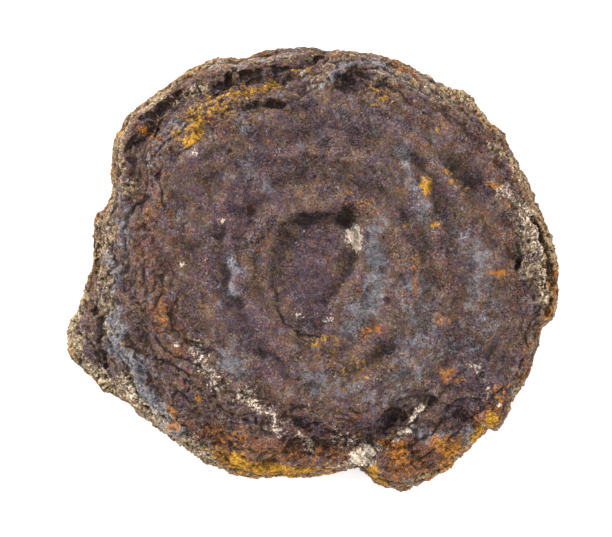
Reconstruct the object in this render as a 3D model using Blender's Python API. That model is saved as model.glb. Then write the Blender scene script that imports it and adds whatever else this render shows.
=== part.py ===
"""Lake iron ore: a flat round concretion of limonite, 60 mm across and 14 mm thick.

It grew on a lake bed as crust upon crust. It is built as four closed shells that one Remesh
fuses: the upper plate, the wider lower plate that shows along its left and lower edges, the lobe
at its lower right and the mass underneath. The rings, ledges, hollows and lumps are then pressed
into the fused skin, and the foot is cut flat, so that the stone rests as it lies.

Run it with: blender --background --python part.py

Lengths are millimetres until the finished skin is scaled to metres. +Z is up, +X is the longest
way across, and the origin is the middle of the stone's box, on the surface that it rests on.
"""

import math

import bmesh
import bpy
import numpy as np
from mathutils import Matrix, Vector, noise

MM = 0.001  # metres in a millimetre

# Driving dimensions
WIDTH = 60.0  # the longest way across, along X
PLATE_TOP = 13.2  # the upper plate's face, above the rest surface
PLATE_BOTTOM = 6.2
RIM_TOP = 10.6  # the lower plate's face, where it shows
RIM_BOTTOM = 2.8
LOBE_TOP = 10.9
LOBE_BOTTOM = 3.0
BELLY_LEVEL = 5.2  # the height at which the mass underneath is widest
BELLY_RADII = (23.5, 21.0)
BELLY_MIDDLE = (-0.6, -0.6)
SPOT_RADIUS = 9.5  # half the length of the flat spot that the stone rests on

# How far in each shell's foot lies, and how its heights rise along X and Y
PLATE_TUCK = 1.8
RIM_TUCK = 3.0
RIM_TILT = (0.03, 0.0)
LOBE_TUCK = 2.0
LOBE_TILT = (0.0, 0.03)

# The upper plate's edge, clockwise from the top as seen from above. Each point is x, y, and how
# far in the wall leans there before it reaches the plate's face
PLATE_EDGE = [
    (2.7, 26.3, 1.5), (4.7, 25.9, 1.8), (7.9, 25.7, 2.0), (11.0, 25.0, 2.0), (14.5, 23.6, 2.0),
    (16.3, 22.1, 1.8), (19.1, 20.9, 1.8), (21.8, 17.9, 1.6), (23.7, 15.8, 1.5), (23.9, 14.5, 1.5),
    (25.4, 12.2, 1.5), (27.2, 8.5, 1.6), (29.0, 4.6, 1.6), (29.9, 0.3, 1.5), (30.2, -1.9, 1.5),
    (29.6, -5.8, 1.2), (28.0, -7.2, 1.4), (27.0, -10.5, 1.6), (25.7, -14.4, 1.6),
    (24.3, -16.3, 1.5), (22.8, -19.6, 1.2), (21.0, -18.3, 1.5), (19.3, -17.3, 2.0),
    (17.1, -16.9, 2.0), (14.7, -15.8, 2.0), (12.2, -16.0, 2.0), (9.8, -17.5, 2.0),
    (7.4, -19.8, 2.0), (4.1, -20.6, 2.2), (0.4, -20.8, 2.5), (-2.6, -21.8, 3.0),
    (-5.5, -24.0, 3.0), (-9.0, -24.3, 3.0), (-12.4, -23.0, 2.8), (-15.0, -21.5, 2.4),
    (-17.6, -19.6, 2.2), (-20.9, -17.0, 2.0), (-23.5, -13.8, 2.2), (-25.6, -9.0, 3.5),
    (-26.2, -4.0, 5.0), (-26.2, -0.1, 6.0), (-25.6, 3.6, 6.0), (-24.3, 6.6, 5.5),
    (-22.9, 9.1, 4.5), (-21.8, 10.9, 3.5), (-21.1, 14.5, 3.0), (-19.2, 18.0, 3.0),
    (-17.0, 20.2, 3.0), (-13.2, 21.8, 3.0), (-9.7, 22.8, 3.0), (-6.0, 23.4, 3.0),
    (-1.6, 23.9, 2.5), (0.8, 25.2, 1.6),
]

# The lower plate's edge, anticlockwise from the top. It shows as far as the lobe, and from there
# it runs hidden under the upper plate
RIM_EDGE = [
    (1.7, 26.7, 1.6), (-2.0, 26.9, 1.6), (-5.9, 26.5, 1.8), (-8.7, 25.8, 1.8), (-12.3, 24.8, 2.0),
    (-14.3, 23.9, 2.0), (-17.1, 22.7, 2.2), (-19.9, 21.1, 2.2), (-22.2, 19.3, 2.4),
    (-23.9, 16.0, 2.4), (-24.5, 14.3, 2.6), (-24.0, 12.2, 2.8), (-24.3, 8.4, 3.0),
    (-25.8, 6.3, 3.5), (-26.2, 3.6, 4.0), (-27.3, -1.4, 4.0), (-28.3, -3.9, 4.0),
    (-29.9, -7.2, 3.6), (-30.1, -8.7, 3.2), (-29.7, -10.6, 3.0), (-28.0, -12.9, 3.2),
    (-25.5, -14.7, 3.6), (-23.7, -15.6, 3.8), (-21.0, -17.6, 3.6), (-17.2, -20.5, 3.0),
    (-14.0, -23.1, 2.8), (-10.9, -24.9, 2.4), (-6.8, -25.6, 2.0), (-2.6, -25.5, 2.0),
    (1.3, -24.9, 2.0), (4.1, -24.2, 1.8), (6.5, -24.0, 1.8), (8.9, -22.6, 1.8),
    (13.2, -20.8, 1.8), (17.8, -18.2, 1.8), (22.6, -15.4, 1.8), (25.2, -9.5, 1.8),
    (27.6, -3.0, 1.8), (27.4, 4.0, 1.8), (24.6, 11.0, 1.8), (20.6, 16.8, 1.8), (14.6, 21.4, 1.8),
    (7.6, 24.4, 1.8),
]

LOBE_EDGE = [
    (6.8, -24.4, 2.0), (7.6, -25.6, 2.0), (8.8, -26.4, 2.4), (10.9, -27.1, 3.0),
    (12.6, -26.5, 3.0), (15.1, -25.4, 3.0), (17.5, -24.0, 2.6), (19.1, -22.2, 2.4),
    (20.7, -20.4, 2.2), (21.5, -19.5, 2.0), (21.7, -16.5, 2.0), (19.3, -14.7, 2.0),
    (14.4, -14.1, 2.0), (10.2, -15.9, 2.0), (7.4, -19.8, 2.0), (6.7, -22.2, 2.0),
]

# Every wall, ring by ring from the bottom up: how much of its tuck, how much of its lean and how
# much of its height
WALL = [
    (1.0, 0.0, 0.0),
    (0.3, 0.0, 0.1),
    (0.0, 0.0, 0.25),
    (0.0, 0.0, 0.42),
    (0.0, 0.12, 0.6),
    (0.0, 0.34, 0.77),
    (0.0, 0.66, 0.91),
    (0.0, 1.2, 1.0),
]

# The sunken face in the middle of the upper plate, a pear shape that points towards -Y
SINK_EDGE = [
    (-4.8, 2.4), (-4.9, -0.5), (-4.4, -4.2), (-3.3, -6.4), (-1.9, -7.8), (-0.3, -8.3), (1.2, -8.0),
    (1.9, -6.5), (2.4, -4.7), (3.6, -2.7), (5.1, -0.5), (6.1, 3.0), (4.9, 5.9), (1.0, 6.6),
    (-2.8, 6.0),
]
SINK_DEPTH = 0.75
SINK_SLOPE = (0.035, 0.05)  # its floor deepens towards +X and +Y, a millimetre a millimetre
SINK_LIP = (-0.4, 0.6)  # where its floor begins and ends to fall, from outside its edge to inside

# Growth rings round the sunken face: half length, half width, height and breadth
RING_MIDDLE = (1.0, -0.4)
RINGS = [
    (8.9, 10.2, 0.55, 1.7),
    (14.4, 14.9, 0.40, 1.9),
    (20.3, 19.3, 0.30, 1.6),
]
CROWN = 1.5  # how far the face falls from its middle to its edge
CROWN_REACH = 27.0

# Round hollows and lumps of the upper side: x, y, radius, height
MOUNDS = [
    (4.5, 6.2, 1.3, -1.5),
    (7.2, 1.6, 2.4, -0.45),
    (-8.9, -0.2, 1.6, 0.3),
    (17.0, 12.0, 1.5, -0.6),
    (19.2, 10.4, 1.6, -0.5),
    (12.5, 7.6, 1.8, 0.3),
    (10.6, -1.6, 1.4, -0.3),
    (-11.0, 4.4, 1.1, -0.5),
    (-7.3, 7.1, 1.2, -0.45),
    (-20.5, -8.3, 1.1, -1.2),
    (21.0, -9.5, 2.6, -0.55),
    (23.8, -11.6, 2.0, -0.4),
    (17.6, -14.4, 2.2, -0.5),
    (5.0, 23.0, 1.8, -0.9),
    (1.3, 25.0, 1.0, -0.8),
    (-13.5, -12.0, 2.4, 0.4),
    (-3.0, -22.5, 1.9, 0.6),
    (-9.0, -22.0, 1.6, -0.5),
    (2.5, -22.2, 1.5, -0.5),
    (16.0, -20.8, 2.0, 0.8),
    (9.0, -24.2, 1.8, 0.5),
    (12.7, -22.8, 1.5, -0.6),
    (-27.0, -9.5, 1.6, 0.6),
    (-16.0, 13.6, 2.2, 0.4),
    (24.4, 1.6, 1.0, -0.9),
]

# Ridges and furrows of the upper side: breadth, height, and the points they run through
RIDGES = [
    (1.0, 0.5, [(-1.2, 20.1), (1.3, 21.4), (2.7, 23.4), (4.6, 24.4), (7.4, 24.3)]),
    (1.0, -0.9, [(4.0, 22.4), (6.0, 22.6), (8.6, 22.2)]),
    (0.8, -1.1, [(-26.0, -5.0), (-25.8, -8.2), (-25.2, -11.2)]),
    (0.8, -1.2, [(-22.6, -12.0), (-21.2, -13.6), (-19.6, -16.6)]),
    (0.9, 0.6, [(-23.4, -9.2), (-20.4, -14.6), (-17.4, -18.2), (-12.6, -20.4)]),
    (0.9, -1.3, [(-21.9, 11.2), (-20.9, 14.8), (-18.6, 18.8), (-16.0, 21.4)]),
    (0.9, -1.0, [(-13.8, 20.9), (-9.8, 22.6), (-7.6, 23.2), (-2.6, 24.0)]),
    (1.1, -0.9, [(-2.4, -20.6), (0.6, -21.2), (4.2, -21.2), (7.6, -20.6), (10.0, -18.2)]),
    (2.0, -0.6, [(-4.6, -17.6), (-0.6, -18.6), (3.4, -18.8)]),
    (1.1, -0.9, [(10.0, -18.2), (12.6, -16.6), (15.6, -16.8), (18.6, -17.6)]),
]

# Edges of thin crusts that lie on the face: rise, reach of the rise, and the points of the edge,
# with the crust on the left of the way they run
CRUST_EDGES = [
    (0.55, 4.0, [(4.1, 24.3), (1.3, 21.2), (-2.7, 19.3), (-8.0, 19.0), (-10.5, 18.2), (-12.6, 16.7)]),
    (0.60, 5.0, [(24.2, 7.8), (23.5, 10.3), (22.6, 12.1), (20.6, 14.5), (17.4, 17.0)]),
    (0.45, 2.5, [(-2.8, 13.2), (0.8, 13.4), (4.4, 12.6)]),
]
CRUST_LIP = 0.3  # half the breadth of each such edge

# Crusts that show as ledges on the walls, and as rings underneath: half length, half width,
# height and breadth
CRUST_HEIGHT = 1.55
CRUST_STEP = 0.42
CRUST_FOOT = 0.35  # the share of a crust's height over which it comes out
CRUST_BROW = 0.75  # and the share at which it draws in again
BELLY_RINGS = [(17.6, 15.6, 0.3, 1.3), (20.8, 18.6, 0.45, 1.2)]

# How quickly the rings and crusts wander as they go round, and how far
RING_WANDER = (0.11, 2.2)
BELLY_WANDER = (0.13, 3.0)
CRUST_WANDER = (0.09, 1.1)

# Lumpiness all over: size and height of the lumps, and the share of it that the worn face keeps
LUMPS = [(9.0, 0.55), (3.6, 0.42), (1.7, 0.22)]
FACE_SHARE = 0.5

FACING = (0.1, 0.7)  # the upright part of a normal: all wall below the first, all face above the second

VOXEL = 0.45  # the Remesh grid
WEAR = 2  # passes of smoothing, which round the sharpest edges
TRIANGLES = 9300  # what Decimate aims at, before the foot is cut
SPAN_STEPS = 6  # points drawn between two neighbours of an outline

LIMONITE = (0.115, 0.072, 0.060, 1.0)
LIMONITE_ROUGHNESS = 0.62


def smooth_loop(points):
    """A closed Catmull-Rom curve through the points."""
    knots = np.array(points, float)
    before = np.roll(knots, 1, axis=0)
    after = np.roll(knots, -1, axis=0)
    beyond = np.roll(knots, -2, axis=0)
    t = np.arange(SPAN_STEPS)[:, None, None] / SPAN_STEPS
    bend = 2 * before - 5 * knots + 4 * after - beyond
    twist = 3 * (knots - after) + beyond - before
    curve = knots + 0.5 * (t * (after - before) + t**2 * bend + t**3 * twist)
    return curve.transpose(1, 0, 2).reshape(-1, knots.shape[1])


def smooth_path(points):
    """An open curve through the points: the closed one, without the stretch that closes it."""
    ends = [points[0]] + points + [points[-1]]
    return smooth_loop(ends)[SPAN_STEPS : len(points) * SPAN_STEPS + 1]


def distance_to(path, spots):
    """How far each spot is from a finely drawn path: less than 0 on the right of the way it runs."""
    nearest = np.full(len(spots), np.inf)
    side = np.ones(len(spots))
    for point, way in zip(path, np.gradient(path, axis=0)):
        off = spots - point
        gap = (off**2).sum(axis=1)
        closer = gap < nearest
        nearest[closer] = gap[closer]
        side[closer] = np.sign(way[0] * off[closer, 1] - way[1] * off[closer, 0])
    return np.sqrt(nearest) * side


def inside(loop, spots):
    """Whether each spot lies inside the closed loop."""
    found = np.zeros(len(spots), bool)
    x, y = spots.T
    for (x0, y0), (x1, y1) in zip(loop, np.roll(loop, -1, axis=0)):
        if y0 == y1:
            continue
        crosses = (y0 > y) != (y1 > y)
        found ^= crosses & (x < x0 + (y - y0) * (x1 - x0) / (y1 - y0))
    return found


def ease(value, low, high):
    """0 below low, 1 above high, and a smooth rise between them."""
    t = np.clip((value - low) / (high - low), 0, 1)
    return t * t * (3 - 2 * t)


def bell(distance, breadth):
    """1 at no distance, falling to nothing by about twice the breadth."""
    return np.exp(-((distance / breadth) ** 2))


def wander(places, how):
    """Noise at each place, for a pair of how quickly it varies and how much."""
    rate, amount = how
    return amount * np.array([noise.noise(Vector(place) * rate) for place in places])


def shell(name, edge, bottom, top, tuck, tilt=(0.0, 0.0)):
    """A closed shell whose wall follows the edge's points of x, y and lean."""
    loop = smooth_loop(edge)
    lean = loop[:, 2]
    middle = loop[:, :2].mean(axis=0)
    spokes = loop[:, :2] - middle
    lengths = np.hypot(*spokes.T)
    mesh = bmesh.new()
    rings = []
    for tuck_share, lean_share, height_share in WALL:
        inset = tuck_share * tuck + lean_share * lean
        ring = middle + spokes * (1 - inset / lengths)[:, None]
        heights = bottom + height_share * (top - bottom) + ring @ np.array(tilt)
        rings.append([mesh.verts.new((x, y, z)) for (x, y), z in zip(ring, heights)])
    for lower, upper in zip(rings, rings[1:]):
        for a, b, c, d in zip(lower, lower[1:] + lower[:1], upper[1:] + upper[:1], upper):
            mesh.faces.new((a, b, c, d))
    mesh.faces.new(rings[0])
    mesh.faces.new(rings[-1])
    bmesh.ops.recalc_face_normals(mesh, faces=mesh.faces)
    data = bpy.data.meshes.new(name)
    mesh.to_mesh(data)
    mesh.free()
    obj = bpy.data.objects.new(name, data)
    bpy.context.collection.objects.link(obj)
    return obj


def belly():
    """The mass underneath: a bowl so deep that the rest surface cuts off the flat spot."""
    bpy.ops.mesh.primitive_uv_sphere_add(segments=48, ring_count=24, radius=1.0)
    bowl = bpy.context.object
    length, width = BELLY_RADII
    depth = BELLY_LEVEL / math.sqrt(1 - (SPOT_RADIUS / length) ** 2)
    bowl.data.transform(Matrix.Diagonal((length, width, depth, 1.0)))
    bowl.data.transform(Matrix.Translation((*BELLY_MIDDLE, BELLY_LEVEL)))
    return bowl


def growth_shells():
    """The four overlapping shells that the stone is fused from."""
    return [
        shell("upper_plate", PLATE_EDGE, PLATE_BOTTOM, PLATE_TOP, PLATE_TUCK),
        shell("lower_plate", RIM_EDGE, RIM_BOTTOM, RIM_TOP, RIM_TUCK, RIM_TILT),
        shell("lobe", LOBE_EDGE, LOBE_BOTTOM, LOBE_TOP, LOBE_TUCK, LOBE_TILT),
        belly(),
    ]


def fused(shells):
    """The shells as one skin, as a new mesh."""
    first = shells[0]
    with bpy.context.temp_override(active_object=first, selected_editable_objects=shells):
        bpy.ops.object.join()
    remesh = first.modifiers.new("fuse", "REMESH")
    remesh.mode = "VOXEL"
    remesh.voxel_size = VOXEL
    graph = bpy.context.evaluated_depsgraph_get()
    skin = bpy.data.meshes.new_from_object(first.evaluated_get(graph))
    bpy.data.objects.remove(first)
    return skin


def rows_of(items, layer):
    """A layer of three numbers an item, such as "co", as an array with a row for each."""
    values = np.empty(len(items) * 3)
    items.foreach_get(layer, values)
    return values.reshape(-1, 3)


def move_points(mesh, points):
    mesh.vertices.foreach_set("co", points.ravel())
    mesh.update()


def ring_heights(spots, middle, rings, how):
    """The rise of the growth rings at each spot."""
    height = np.zeros(len(spots))
    off = spots - np.array(middle)
    bend = wander(np.column_stack([spots, np.full(len(spots), RIM_BOTTOM)]), how)
    for half_length, half_width, rise, breadth in rings:
        reach = np.hypot(off[:, 0] / half_length, off[:, 1] / half_width)
        height += rise * bell((reach - 1) * half_length + bend, breadth)
    return height


def upper_relief(spots):
    """How far the upper side rises or sinks at each spot."""
    height = ring_heights(spots, RING_MIDDLE, RINGS, RING_WANDER)
    sink = smooth_loop(SINK_EDGE)
    depth_in = np.where(inside(sink, spots), 1, -1) * np.abs(distance_to(sink, spots))
    height -= (SINK_DEPTH + spots @ np.array(SINK_SLOPE)) * ease(depth_in, *SINK_LIP)
    for x, y, radius, rise in MOUNDS:
        height += rise * bell(np.hypot(spots[:, 0] - x, spots[:, 1] - y), radius)
    for breadth, rise, points in RIDGES:
        height += rise * bell(distance_to(smooth_path(points), spots), breadth)
    for rise, reach, points in CRUST_EDGES:
        onto = distance_to(smooth_path(points), spots)
        height += rise * ease(onto, -CRUST_LIP, CRUST_LIP) * bell(np.clip(onto, 0, None), reach)
    return height


def crust_steps(points):
    """Ledges on the walls: each crust comes out above its foot and draws in at its brow."""
    level = (points[:, 2] / CRUST_HEIGHT + wander(points, CRUST_WANDER)) % 1.0
    return CRUST_STEP * (ease(level, 0.0, CRUST_FOOT) - ease(level, CRUST_BROW, 1.0))


def lumpiness(points):
    """Lumps of every size, each size's noise taken from another height."""
    height = np.zeros(len(points))
    for order, (size, rise) in enumerate(LUMPS):
        height += wander(points + (0.0, 0.0, order * WIDTH), (1 / size, rise))
    return height


def crown_fall(points):
    """How far the upper side falls away from its middle, which leaves the foot where it is."""
    share = np.hypot(*(points[:, :2] - RING_MIDDLE).T) / CROWN_REACH
    return CROWN * share**3 * ease(points[:, 2], RIM_BOTTOM, PLATE_TOP)


def carve(skin):
    """Presses the rings, ledges, hollows and lumps into the fused skin."""
    points = rows_of(skin.vertices, "co")
    normals = rows_of(skin.vertex_normals, "vector")
    upward = ease(normals[:, 2], *FACING)
    downward = ease(-normals[:, 2], *FACING)
    wall = 1 - upward - downward
    face = ease(points[:, 2], RIM_TOP, PLATE_TOP) * upward
    lifted = upper_relief(points[:, :2]) * upward - crown_fall(points)
    lifted -= ring_heights(points[:, :2], BELLY_MIDDLE, BELLY_RINGS, BELLY_WANDER) * downward
    outward = lumpiness(points) * (1 - (1 - FACE_SHARE) * face) + crust_steps(points) * wall
    points += normals * outward[:, None]
    points[:, 2] += lifted
    move_points(skin, points)


def set_in_place(skin):
    """Sets the middle of the box over the origin, at the full width, and in metres."""
    points = rows_of(skin.vertices, "co")
    low = points.min(axis=0)
    high = points.max(axis=0)
    points[:, :2] -= (low + high)[:2] / 2
    points[:, :2] *= WIDTH / (high - low)[0]
    move_points(skin, points * MM)


def limonite():
    material = bpy.data.materials.new("limonite_crust")
    material.use_nodes = True
    shader = material.node_tree.nodes["Principled BSDF"]
    shader.inputs["Base Color"].default_value = LIMONITE
    shader.inputs["Roughness"].default_value = LIMONITE_ROUGHNESS
    shader.inputs["Metallic"].default_value = 0.0
    material.diffuse_color = LIMONITE
    return material


def rest_plane_cutter():
    """A block below the rest surface, which cuts the foot flat."""
    size = 1.5 * WIDTH * MM
    bpy.ops.mesh.primitive_cube_add(size=size, location=(0.0, 0.0, -size / 2))
    cutter = bpy.context.object
    cutter.name = "rest_plane_cutter"
    cutter.hide_render = True
    cutter.display_type = "WIRE"
    return cutter


def build_stone():
    skin = fused(growth_shells())
    carve(skin)
    set_in_place(skin)
    skin.materials.clear()
    skin.materials.append(limonite())
    skin.shade_smooth()
    stone = bpy.data.objects.new("ore_nodule", skin)
    bpy.context.collection.objects.link(stone)
    worn = stone.modifiers.new("wear", "SMOOTH")
    worn.factor = 0.5
    worn.iterations = WEAR
    fewer = stone.modifiers.new("facets", "DECIMATE")
    fewer.ratio = TRIANGLES / (2 * len(skin.vertices))
    foot = stone.modifiers.new("foot", "BOOLEAN")
    foot.operation = "DIFFERENCE"
    foot.object = rest_plane_cutter()


def main():
    for obj in list(bpy.data.objects):
        bpy.data.objects.remove(obj)
    build_stone()


main()
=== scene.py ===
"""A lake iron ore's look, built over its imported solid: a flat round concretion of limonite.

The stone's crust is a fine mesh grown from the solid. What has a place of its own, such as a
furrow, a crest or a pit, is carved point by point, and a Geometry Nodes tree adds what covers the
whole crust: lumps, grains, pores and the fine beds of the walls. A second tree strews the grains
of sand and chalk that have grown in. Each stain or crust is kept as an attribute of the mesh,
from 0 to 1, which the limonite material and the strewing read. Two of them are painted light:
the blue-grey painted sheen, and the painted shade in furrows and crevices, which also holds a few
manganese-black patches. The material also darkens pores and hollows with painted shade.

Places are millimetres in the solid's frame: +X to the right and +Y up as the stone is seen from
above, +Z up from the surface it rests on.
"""

import math

import bmesh
import bpy
import numpy as np
from bpy.props import FloatProperty, FloatVectorProperty, IntProperty, PointerProperty
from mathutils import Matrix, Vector, noise


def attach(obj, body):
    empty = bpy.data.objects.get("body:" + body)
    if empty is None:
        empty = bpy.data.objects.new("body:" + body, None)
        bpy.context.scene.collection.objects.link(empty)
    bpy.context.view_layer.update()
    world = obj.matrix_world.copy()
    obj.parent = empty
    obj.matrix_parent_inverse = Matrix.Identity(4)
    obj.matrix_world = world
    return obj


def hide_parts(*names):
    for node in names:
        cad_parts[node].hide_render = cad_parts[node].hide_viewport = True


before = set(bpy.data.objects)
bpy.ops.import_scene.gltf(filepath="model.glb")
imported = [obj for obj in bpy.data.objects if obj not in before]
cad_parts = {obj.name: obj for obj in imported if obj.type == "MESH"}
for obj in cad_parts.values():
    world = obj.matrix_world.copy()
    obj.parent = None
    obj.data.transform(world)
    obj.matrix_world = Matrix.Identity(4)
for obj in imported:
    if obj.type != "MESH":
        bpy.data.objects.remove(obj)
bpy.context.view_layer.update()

bl_info = {
    "name": "Lake iron ore",
    "version": (1, 0, 0),
    "blender": (4, 5, 0),
    "location": "3D View > Sidebar > Lake ore",
    "description": "Dresses a lake ore concretion: crust, grown-in sand and chalk, and the stage",
    "category": "Object",
}

MM = 0.001  # metres in a millimetre
STONE = "ore_nodule"
BODY = "root"

# The worn, smooth part of the upper face. Outside it the crust is rough and grainy
WORN_FACE = [
    (3.0, 21.0), (13.0, 19.5), (20.0, 13.5), (24.0, 6.0), (25.5, -2.0), (24.5, -9.0), (22.0, -14.5),
    (17.0, -15.0), (11.0, -14.5), (7.0, -16.5), (0.0, -17.0), (-6.0, -15.5), (-11.0, -11.0),
    (-15.0, -6.0), (-17.0, 0.0), (-18.0, 6.0), (-16.5, 12.0), (-12.0, 16.0), (-7.0, 18.5),
    (-2.0, 19.3),
]
WORN_FADE = 2.0  # from its edge to where the crust is wholly worn or wholly rough

# Growth runs from 0 in the middle to this at the outline, and the rings follow it
OUTLINE_GROWTH = 27
RIM_STARTS = (23.5, 25.5)  # growth over which the face turns into the rim
RIM_GROWTH = 0.15  # how far the crust stands out from the solid round the rim

# Narrow furrows: half breadth, depth, and the points they run through
FURROWS = [
    (0.25, 0.35, [(-20.1, 18.1), (-18.3, 18.8), (-17.5, 20.5), (-16.0, 21.2)]),
    (0.22, 0.40, [(-13.8, 20.9), (-12.0, 21.2), (-9.8, 22.5), (-9.2, 23.9)]),
    (0.20, 0.22, [(-8.0, 23.2), (-5.8, 23.5), (-1.6, 24.0)]),
    (0.22, 0.25, [(-9.7, 18.8), (-8.0, 19.0), (-6.0, 19.5), (-2.7, 19.3)]),
    (0.25, 0.25, [(-22.6, 12.5), (-21.4, 15.2), (-19.6, 16.4), (-18.2, 18.4)]),
    (0.25, 0.30, [(-21.8, 19.6), (-19.0, 22.0), (-15.4, 23.6), (-11.6, 25.2)]),
    (0.25, 0.25, [(4.1, 22.8), (6.5, 23.1), (8.9, 22.5)]),
    (0.25, 0.45, [(-26.0, 6.6), (-26.2, 3.0), (-25.9, -0.7)]),
    (0.35, 0.60, [(-25.6, -5.9), (-25.3, -8.6), (-24.8, -11.4)]),
    (0.30, 0.60, [(-22.2, -11.8), (-21.4, -13.2), (-20.6, -14.5)]),
    (0.30, 0.60, [(-19.7, -16.5), (-18.7, -18.1), (-17.0, -20.4)]),
    (0.24, 0.13, [(-4.6, -0.9), (-4.2, -3.9), (-3.3, -5.9), (-1.4, -7.7), (1.3, -8.1)]),
    (0.30, 0.20, [(-3.3, -17.3), (0.4, -18.9), (4.2, -20.3)]),
    (0.30, 0.15, [(4.2, -20.3), (7.1, -20.0), (9.8, -18.3), (12.0, -16.4)]),
    (0.20, 0.80, [(24.5, 3.3), (24.6, 1.6), (24.5, -0.2)]),
    (0.25, 0.90, [(26.5, 6.1), (27.6, 3.7), (28.4, 0.9), (28.9, -1.0), (28.7, -3.3), (28.3, -5.2)]),
]
POROUS_BREADTH = 1.3  # how far round a furrow the crust is porous
POROUS_MOST = 0.45  # deeper furrows than this are no more porous
POROUS_GROWTH = 18  # nearer the middle the furrows have no pores

# Narrow crests, in the same form
CRESTS = [
    (0.45, 0.5, [(8.9, 24.3), (6.1, 24.8), (4.1, 24.3), (2.5, 23.1), (1.3, 21.2), (-1.2, 19.9),
                 (-2.7, 19.3)]),
    (0.50, 0.4, [(-23.2, -9.3), (-21.1, -8.8)]),
    (0.60, 0.5, [(-21.1, -9.8), (-19.9, -14.3), (-18.7, -16.2), (-17.2, -18.3), (-15.8, -19.3),
                 (-12.7, -20.3), (-11.3, -21.2)]),
    (0.80, 0.25, [(-9.3, 3.6), (-9.6, 0.9), (-9.2, -1.9), (-8.2, -4.3)]),
    (0.90, 0.25, [(10.2, 13.3), (12.6, 10.3), (13.8, 7.2), (14.4, 4.2)]),
]

# Grooves of the solid that ore has grown into: share filled, half breadth, points
FILLED = [
    (0.95, 2.2, [(-11.9, 22.9), (-7.5, 23.6), (-2.9, 24.5)]),
    (0.80, 1.7, [(-15.2, 21.6), (-17.8, 20.3), (-19.4, 19.2)]),
    (0.95, 2.2, [(-20.3, 17.4), (-21.5, 15.4), (-22.2, 13.3), (-22.4, 10.3)]),
    (0.95, 1.9, [(-8.0, 19.8), (-5.5, 20.1), (-3.1, 20.0)]),
    (0.60, 1.4, [(-25.6, -5.9), (-25.3, -8.6), (-24.8, -10.4)]),
    (0.50, 1.2, [(-20.3, -8.0)]),
    (0.45, 1.6, [(12.5, -16.6), (17.6, -16.2)]),
    (0.45, 1.2, [(-4.9, 2.1), (-4.4, 5.0), (-2.8, 6.2)]),
    (0.80, 1.3, [(3.2, 23.8), (5.4, 24.0)]),
]
LIP_PERCENTILE = 88  # a groove's lip, among the heights around it
DEEPEST_GROOVE = 3.5  # what lies deeper is the stone's outer wall
FILL_ENDS = (25.3, 26.3)  # growth over which the filling stops short of the outline

# Pits: x, y, radius, depth
PITS = [
    (1.3, 25.1, 0.6, 0.5), (-10.8, 3.8, 0.5, 0.15), (-7.2, 6.9, 0.6, 0.15),
    (12.2, -16.9, 0.6, 0.2), (-18.3, 10.9, 0.4, 0.25), (-9.7, 13.9, 0.4, 0.2),
    (20.0, -12.5, 0.6, 0.15), (8.7, -3.7, 0.5, 0.12),
]

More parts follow.
